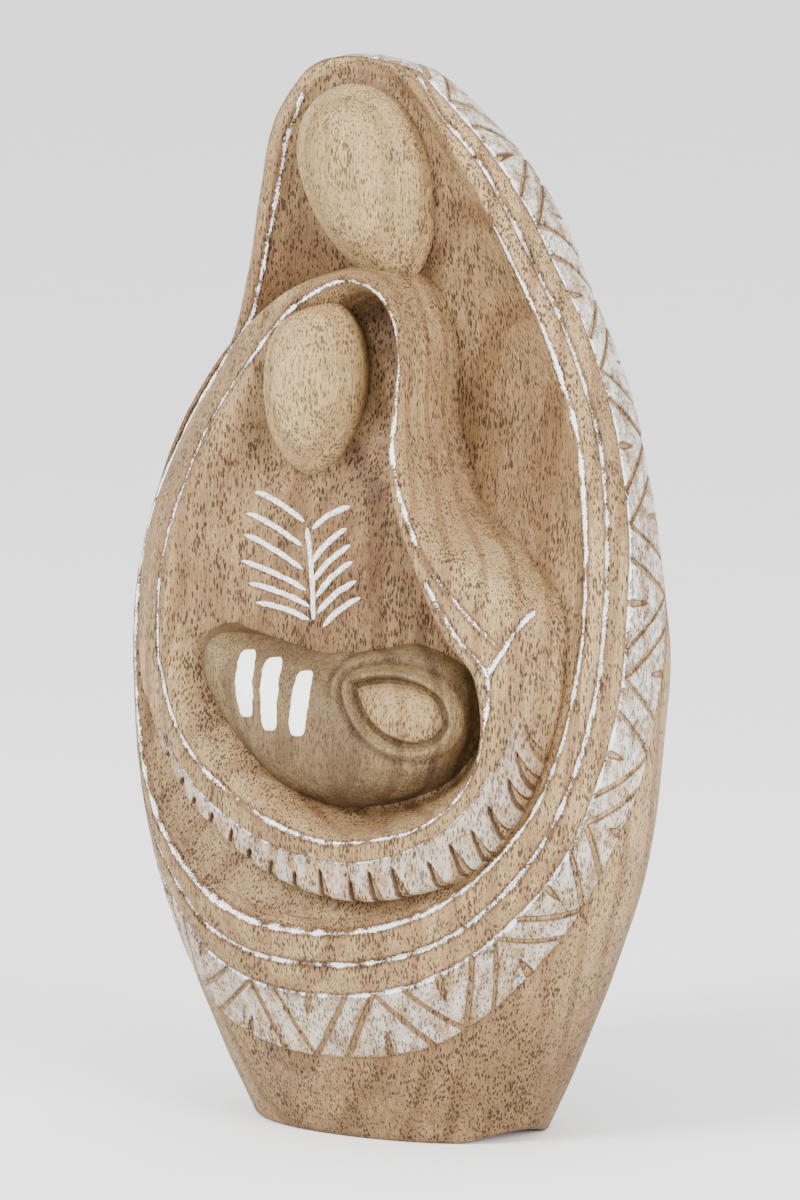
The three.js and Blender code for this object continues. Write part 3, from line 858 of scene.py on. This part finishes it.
def add_bundle():
    """The swaddled body."""
    centre = np.array((0.0, 160.0))
    plan = patch(bundle_loop, centre, 95, 440, 2.5, 1.35)
    x, z = plan[..., 0], plan[..., 1]
    y, inside, gap = bundle_surface(x, z)
    p = join(x, y, z)
    y = y + 0.35 * HAND_CUT(p * 1.3) + 0.07 * TOOL_MARKS(p)
    # Painted shade round the wrap's edge, in the grooves of the face's ring and the collar fold, and towards
    # the bottom, plus a slight even darkening.
    crease = 0.75 * fading(inside, 4) + 1.1 * bell(gap + 3.2, 1.1)
    crease = crease + 0.9 * bell(gap - 3.3, 1.0) + 0.6 * smooth((162 - z) / 28) + 0.15
    across, along = turned(x, z, FACE_AT, FACE_LEAN)
    crease = crease + 0.8 * bell(gap - 8.5, 1.2) * collar_side(across, along)
    return add_patch("wrapped_baby", plan, y, -20.0, crease=np.clip(crease, 0, 1))


def add_face():
    """The plain face: a low dome inside the wrap's edge."""
    rows, columns = 50, 160
    rim = offset_loop(closed_curve(FACE_OUTLINE, columns), -3.4)
    centre = rim.mean(axis=0)
    q = np.linspace(0, 1, rows + 1)[1:, None] ** 0.8
    x, z = on_face_plane(centre + q[..., None] * (rim - centre))
    y, _, _ = bundle_surface(x, z)
    dome = 2.2 * np.sqrt(np.clip(1 - q ** 2, 0, 1))
    y = y - dome + 1.2 * q ** 6
    y = y + 0.25 * HAND_CUT(join(x, y, z) * 1.8)
    # Darker all over, and painted shade towards the edge where the face meets the wrap's ring.
    return add_patch("face_of_baby", join(x, z), y, -40.0, crease=0.4 + 0.5 * q ** 8 + 0 * y)


def offset_loop(loop, gap):
    """A closed loop moved outwards by a gap, or inwards where it is below zero."""
    along = np.roll(loop, -2, axis=0) - np.roll(loop, 2, axis=0)
    normal = np.column_stack([along[:, 1], -along[:, 0]])
    normal /= np.linalg.norm(normal, axis=1, keepdims=True)
    area = (loop[:, 0] * np.roll(loop[:, 1], -1) - loop[:, 1] * np.roll(loop[:, 0], -1)).sum()
    return loop + normal * gap * np.sign(area)


def on_face_plane(flat):
    """Points of the face's own plane, as x and height in the front view."""
    across, along = flat[..., 0], flat[..., 1]
    x = FACE_AT[0] + across * math.cos(FACE_LEAN) + along * math.sin(FACE_LEAN)
    z = FACE_AT[1] - across * math.sin(FACE_LEAN) + along * math.cos(FACE_LEAN)
    return x, z


def add_baby_hood():
    """The raised edge of the wrap round the face: an almond-shaped roll that melts into the wrap."""
    rows, columns = 16, 320
    loop = closed_curve(FACE_OUTLINE, columns)
    gap = np.linspace(-2.6, 2.6, rows)
    x, z = on_face_plane(np.stack([offset_loop(loop, g) for g in gap]))
    y, _, _ = bundle_surface(x, z)
    y = y - 0.8 * np.clip(1 - (gap[:, None] / 2.0) ** 2, -1, 1)
    p = join(x, y, z)
    top = p + join(0 * y, 0.35 * HAND_CUT(p * 1.3), 0 * y)
    inner = top.mean(axis=0) + [0, 4, 0]
    points = np.concatenate([top, inner[None]]).reshape(-1, 3)
    return make_mesh("edge_of_wrap", points, grid_faces(rows + 1, columns, True, True, flip=True))


# ---------- raised paint ----------


def add_ribbon(name, ends, width, thickness, surface, bow=0.0, seed=0, taper=0.35, ragged_by=0.13):
    """A brushed stroke: a thin closed cushion of paint that follows a carved surface."""
    ax, az, bx, bz = ends
    length = math.hypot(bx - ax, bz - az)
    dx, dz = (bx - ax) / length, (bz - az) / length
    columns, rows = max(int(length / 0.45), 12), 13
    u = np.linspace(0, 1, columns)
    ragged = waves(9, 2.2, 9, 200 + seed)
    place = np.column_stack([u * length, np.zeros(columns), np.zeros(columns)])
    half = width / 2 * np.clip(1 - np.abs(2 * u - 1) ** 7, 0, 1) ** taper
    left = half * (1 + ragged_by * ragged(place)) + 0.02
    right = half * (1 + ragged_by * ragged(place + [0, 40, 0])) + 0.02
    w = np.linspace(-1, 1, rows)[:, None]
    side = np.where(w < 0, w * left, w * right) + bow * (1 - (2 * u - 1) ** 2)
    x = ax + dx * u * length - dz * side
    z = az + dz * u * length + dx * side
    y = surface(x, z)
    p = join(x, y, z)
    crown = np.clip(1 - w ** 6, 0, 1) ** 0.5 * np.clip(1 - np.abs(2 * u - 1) ** 14, 0, 1)
    streak = 0.10 * ragged(p * 0.6) * crown
    top = p + join(0 * y, 0.25 * (1 - crown) - thickness * crown - streak, 0 * y)
    points = np.concatenate([top, p + [0, 0.8, 0]]).reshape(-1, 3)
    return make_mesh(name, points, shell_faces(rows, columns))


def on_bundle(x, z):
    """The y of the wrap as it is cut, for the paint that lies on it."""
    y, _, _ = bundle_surface(x, z)
    return y + 0.35 * HAND_CUT(join(x, y, z) * 1.3)


def on_chest(x, z):
    """The y of the chest as it is cut, for the paint that lies on it."""
    y, _, _ = mantle_surface(x, z)
    return y + 0.3 * HAND_CUT(join(x, y, z))


def stroke_ends(node, falls, beyond=0.0):
    """The two ends of a stroke: opposite corners of its CAD box, drawn in a little, the root carried on."""
    (x0, _, z0), (x1, _, z1) = (np.array(corner) * 1000 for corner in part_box(node))
    inset = 0.6
    tip_x, root_x = (x0 + inset, x1 - inset) if falls else (x1 - inset, x0 + inset)
    tip_z, root_z = z1 - inset, z0 + inset
    return tip_x, tip_z, root_x + beyond * (root_x - tip_x), root_z + beyond * (root_z - tip_z)


# ---------- materials ----------


class Nodes:
    """A material's node tree, built by short calls."""

    def __init__(self, name):
        self.material = bpy.data.materials.new(name)
        self.material.use_nodes = True
        self.tree = self.material.node_tree
        self.shader = self.tree.nodes["Principled BSDF"]

    def put(self, socket, value):
        if isinstance(value, bpy.types.NodeSocket):
            self.tree.links.new(value, socket)
        else:
            socket.default_value = value

    def add(self, kind, inputs, output=0, **settings):
        node = self.tree.nodes.new(kind)
        for key, value in settings.items():
            setattr(node, key, value)
        for key, value in inputs.items():
            self.put(node.inputs[key], value)
        return node.outputs[output]

    def place(self):
        return self.add("ShaderNodeTexCoord", {}, output="Object")

    def stretched(self, vector, across, along, offset=(0, 0, 0)):
        """Coordinates that count features of the given sizes, in millimetres."""
        size = (1000 / across, 1000 / across, 1000 / along)
        return self.add("ShaderNodeMapping", {"Vector": vector, "Scale": size, "Location": offset})

    def noise(self, vector, detail=3.0, roughness=0.55, distortion=0.0):
        inputs = {"Vector": vector, "Scale": 1.0, "Detail": detail, "Roughness": roughness}
        return self.add("ShaderNodeTexNoise", {**inputs, "Distortion": distortion})

    def math(self, operation, *values):
        return self.add("ShaderNodeMath", dict(enumerate(values)), operation=operation)

    def times(self, *values):
        return self.math("MULTIPLY", *values)

    def plus(self, *values):
        return self.math("ADD", *values)

    def minus(self, *values):
        return self.math("SUBTRACT", *values)

    def ramp(self, value, low, high, to_low=0.0, to_high=1.0):
        inputs = {"Value": value, "From Min": low, "From Max": high, "To Min": to_low, "To Max": to_high}
        return self.add("ShaderNodeMapRange", inputs, interpolation_type="SMOOTHSTEP")

    def layer(self, name):
        return self.add("ShaderNodeAttribute", {}, output="Fac", attribute_name=name)

    def mix(self, factor, a, b, blend="MIX"):
        return self.add("ShaderNodeMix", {0: factor, 6: a, 7: b}, 2, data_type="RGBA", blend_type=blend)

    def bump(self, height, distance):
        inputs = {"Height": height, "Strength": 1.0, "Distance": distance}
        self.put(self.shader.inputs["Normal"], self.add("ShaderNodeBump", inputs))

    def finish(self, colour, roughness):
        self.put(self.shader.inputs["Base Color"], colour)
        self.put(self.shader.inputs["Roughness"], roughness)
        self.shader.inputs["Specular IOR Level"].default_value = 0.25
        return self.material


def rgb(red, green, blue):
    """A colour given as it shows on a screen, 0 to 255."""
    linear = [c / 255 / 12.92 if c <= 10 else ((c / 255 + 0.055) / 1.055) ** 2.4 for c in (red, green, blue)]
    return (*linear, 1)


LIGHT_WOOD = rgb(174, 146, 104)
MID_WOOD = rgb(136, 107, 72)
PORE = rgb(38, 24, 14)
STAIN = rgb(76, 52, 33)
# Brown multiplied in as painted shade in creases, hollows and beside the painted lines, with some real brown
# staining.
SHADE_AND_STAIN_BROWN = rgb(148, 119, 90)
# Near-black brown for cuts and notches: bare wood under the limewash, darkened further as painted shade in
# the grooves.
BARE_WOOD_AND_GROOVE_SHADE = rgb(58, 38, 23)
PAINT = rgb(244, 244, 242)
LIMEWASH = rgb(210, 207, 201)

# The sizes of the wood's features, in millimetres across and along the grain.
FIBRE = (0.7, 20)
FIGURE = (2.6, 60)
PORE_CELL = (0.85, 3.5)
GRIT = (0.42, 1.0)


def wood(name, light=LIGHT_WOOD, mid=MID_WOOD, darker_tone=STAIN, shade_and_stain_strength=0.95, pores=1.0):
    """Pale open-pored wood, grain upright, with limewash, worn white lines, and painted shade with some real
    brown staining, where the layers say.
    """
    n = Nodes(name)
    place = n.place()
    broad = n.noise(n.stretched(place, 42, 95), 3.0, 0.6)
    fibre = n.noise(n.stretched(place, *FIBRE), 3.0, 0.7)
    figure = n.noise(n.stretched(place, *FIGURE), 3.0, 0.6, 0.5)
    heart = {"Vector": place, "Location": (0.03, 0.11, 0), "Rotation": (0.05, -0.07, 0)}
    rings = n.add("ShaderNodeTexWave", {
        "Vector": n.add("ShaderNodeMapping", heart),
        "Scale": 26.0, "Distortion": 3.0, "Detail": 2.0, "Detail Scale": 0.6, "Detail Roughness": 0.5,
    }, wave_type="RINGS", rings_direction="Z")
    tone = n.plus(n.times(broad, 0.75), n.times(figure, 0.40))
    tone = n.plus(tone, n.ramp(rings, 0.72, 1.0, 0.02, 0.24))
    colour = n.mix(n.ramp(tone, 0.40, 0.78), light, mid)
    colour = n.mix(n.ramp(fibre, 0.46, 0.70, 0, 0.6), colour, darker_tone)
    cells = n.add("ShaderNodeTexVoronoi", {
        "Vector": n.add("ShaderNodeVectorMath", {
            0: n.stretched(place, *PORE_CELL),
            1: n.add("ShaderNodeTexNoise", {"Vector": place, "Scale": 90.0, "Detail": 1.0}, output="Color"),
        }, operation="ADD"),
        "Scale": 1.0, "Randomness": 1.0,
    })
    pore_size = n.ramp(n.noise(n.stretched(place, 9, 14), 2.0), 0.35, 0.68, 0.27, 0.44)
    pore = n.times(n.ramp(n.minus(cells, pore_size), -0.09, 0.05, 1.0, 0.0), pores)
    grit = n.noise(n.stretched(place, *GRIT), 2.0, 0.6)
    colour = n.mix(n.ramp(grit, 0.45, 0.68, 0, 0.5), colour, PORE)
    colour = n.mix(n.times(pore, 0.82), colour, PORE)
    # Painted shade: the layer read here darkens creases, hollows and parts turned away from the light,
    # together with some real brown staining.
    crease = n.layer("crease")
    patchy = n.noise(n.stretched(place, 6, 9), 4.0, 0.65)
    shade_and_stain_mask = n.times(crease, n.ramp(patchy, 0.25, 0.75, 0.6, 1.1))
    colour = n.mix(n.times(shade_and_stain_mask, shade_and_stain_strength), colour, n.mix(0.85, colour, SHADE_AND_STAIN_BROWN, "MULTIPLY"))
    # Bare wood and painted groove shade: the cut layer darkens the insides of cuts and notches, and the step
    # below the band as painted shadow.
    cut = n.layer("cut")
    colour = n.mix(n.times(cut, 0.9), colour, BARE_WOOD_AND_GROOVE_SHADE)
    line_gap = n.layer("line")
    # Painted groove shadow: a darker ring beside each painted line, where the groove's edge falls in shade.
    colour = n.mix(n.ramp(line_gap, 1.0, 2.4, 0.6, 0.0), colour, n.mix(1.0, colour, SHADE_AND_STAIN_BROWN, "MULTIPLY"))
    spot = n.noise(n.stretched(place, 0.55, 0.9), 3.0, 0.7)
    wear = n.noise(n.stretched(place, 5, 9), 3.0, 0.6)
    wash = n.plus(n.times(spot, 0.75), n.times(wear, 0.9))
    wash = n.times(n.ramp(wash, 0.68, 0.98, 1.0, 0.0), n.layer("wash"))
    wash = n.times(wash, n.minus(1.0, n.times(pore, 0.7)))
    colour = n.mix(n.times(wash, 0.86), colour, LIMEWASH)
    reach_of_paint = n.plus(n.ramp(wear, 0.32, 0.70, 0.92, -0.12), n.ramp(spot, 0.3, 0.7, 0.45, -0.45))
    line = n.ramp(n.minus(line_gap, reach_of_paint), -0.12, 0.16, 1.0, 0.0)
    colour = n.mix(n.times(line, 0.93), colour, PAINT)
    painted = n.math("MAXIMUM", wash, line)
    height = n.minus(n.times(fibre, 0.35), n.times(pore, 0.8))
    paint_height = n.plus(0.3, n.times(spot, 0.6))
    height = n.plus(height, n.times(painted, paint_height))
    n.bump(height, 0.00022)
    return n.finish(colour, n.plus(0.60, n.times(pore, 0.2)))


def white_paint(name, cover):
    """White paint, thick in the middle of a stroke and thin over the wood where cover is low."""
    n = Nodes(name)
    place = n.place()
    spot = n.noise(n.stretched(place, 0.5, 1.4), 4.0, 0.7)
    brush = n.noise(n.stretched(place, 0.5, 9), 2.0, 0.6)
    bare = n.ramp(spot, 0.40 + 0.5 * cover, 0.52 + 0.5 * cover, 0.0, 1.0)
    colour = n.mix(n.ramp(brush, 0.3, 0.7), PAINT, rgb(232, 231, 227))
    colour = n.mix(n.times(bare, 0.8), colour, MID_WOOD)
    n.bump(n.plus(brush, n.times(spot, 0.7)), 0.0002)
    return n.finish(colour, 0.55)


def dress(piece, material, slot, *nodes):
    """A piece's material, and the CAD nodes it takes the place of, which it hides; the slot is not used."""
    piece.data.materials.append(material)
    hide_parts(*nodes)


# ---------- the scene ----------


BAR_WIDTH, BAR_THICKNESS = 7.4, 0.6
STEM_WIDTH, LEAF_WIDTH, THIN_PAINT = 2.1, 2.2, 0.3


def add_object():
    body_wood = wood("pale_wood")
    head_wood = wood("pale_wood_sanded", rgb(178, 149, 104), rgb(146, 118, 78), pores=0.85)
    # A darker copy of the pale wood for the baby.
    baby_wood = wood("pale_wood_darker", rgb(134, 113, 77), rgb(99, 79, 51), pores=0.65)
    washed_wood = wood("limewashed_wood")
    thick, thin = white_paint("white_paint", 0.9), white_paint("worn_white_paint", 0.14)

    dress(add_block(), body_wood, "pale_wood", "block")
    dress(add_rim(), body_wood, "pale_wood", "outer_rim")
    dress(add_band(), washed_wood, "limewashed_wood", "zigzag_band")
    dress(add_mantle(), body_wood, "pale_wood", "mother_mantle")
    dress(add_fringe(), washed_wood, "limewashed_wood", "fringe_band")
    dress(add_head("tall_figure_head", FATHER_HEAD), head_wood, "pale_wood", "father_head")
    dress(add_head("robed_figure_head", MOTHER_HEAD), head_wood, "pale_wood", "mother_head")
    dress(add_bundle(), baby_wood, "pale_wood", "baby_bundle")
    dress(add_baby_hood(), baby_wood, "pale_wood", "baby_hood")
    dress(add_face(), head_wood, "pale_wood", "baby_face")
    for number in (1, 2, 3):
        node = f"paint_bar_{number}"
        (x0, _, z0), (x1, _, z1) = (np.array(corner) * 1000 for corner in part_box(node))
        ends = (x0 + 3.0, z1 + 1.5, x1 - 3.0, z0 - 2.0)
        name = f"bar_{number}"
        piece = add_ribbon(name, ends, BAR_WIDTH, BAR_THICKNESS, on_bundle, seed=number, ragged_by=0.06)
        dress(piece, thick, "white_paint", node)
    ends = stroke_ends("fishbone_stem", True)
    stem = add_ribbon("painted_stem", ends, STEM_WIDTH, THIN_PAINT, on_chest, 0.8, 10)
    dress(stem, thin, "white_paint", "fishbone_stem")
    for number, (node, falls) in enumerate(leaf_nodes()):
        bow = 1.2 if falls else -1.2
        ends = stroke_ends(node, falls, 0.12)
        name = "painted_" + node
        piece = add_ribbon(name, ends, LEAF_WIDTH, THIN_PAINT, on_chest, bow, 20 + number, taper=0.8)
        dress(piece, thin, "white_paint", node)


def add_floor():
    mesh = bpy.data.meshes.new("floor")
    mesh.from_pydata([(-40, -40, 0), (40, -40, 0), (40, 40, 0), (-40, 40, 0)], [], [(0, 1, 2, 3)])
    floor = add_to_scene("floor", mesh)
    n = Nodes("studio floor")
    shade = n.noise(n.stretched(n.place(), 60, 60), 2.0)
    colour = n.mix(shade, rgb(243, 243, 243), rgb(247, 247, 247))
    floor.data.materials.append(n.finish(colour, 0.9))


def add_camera():
    turn, lift, distance = math.radians(28), math.radians(8.5), 2.8
    target = Vector((0, 0, 0.198))
    away = Vector((math.sin(turn) * math.cos(lift), -math.cos(turn) * math.cos(lift), math.sin(lift)))
    data = bpy.data.cameras.new("camera")
    data.lens = 225.3
    data.sensor_width = 36
    data.clip_end = 50
    camera = add_to_scene("camera", data)
    camera.location = target + away * distance
    camera.rotation_euler = (-away).to_track_quat("-Z", "Y").to_euler()
    bpy.context.scene.camera = camera


def add_light(name, place, target, size, power):
    data = bpy.data.lights.new(name, "AREA")
    data.shape = "RECTANGLE"
    data.size, data.size_y = size
    data.energy = power
    light = add_to_scene(name, data)
    light.location = place
    light.rotation_euler = (Vector(target) - Vector(place)).to_track_quat("-Z", "Y").to_euler()


def add_world():
    world = bpy.data.worlds.new("studio")
    world.use_nodes = True
    background = world.node_tree.nodes["Background"]
    background.inputs["Color"].default_value = (1, 1, 1, 1)
    background.inputs["Strength"].default_value = 1.9
    bpy.context.scene.world = world


add_object()
add_floor()
add_camera()
middle = (0, 0, 0.2)
add_light("key", (-0.7, -1.6, 1.6), middle, (0.7, 0.7), 66)
add_light("fill", (1.8, -0.9, 0.9), middle, (1.0, 1.0), 66)
add_world()
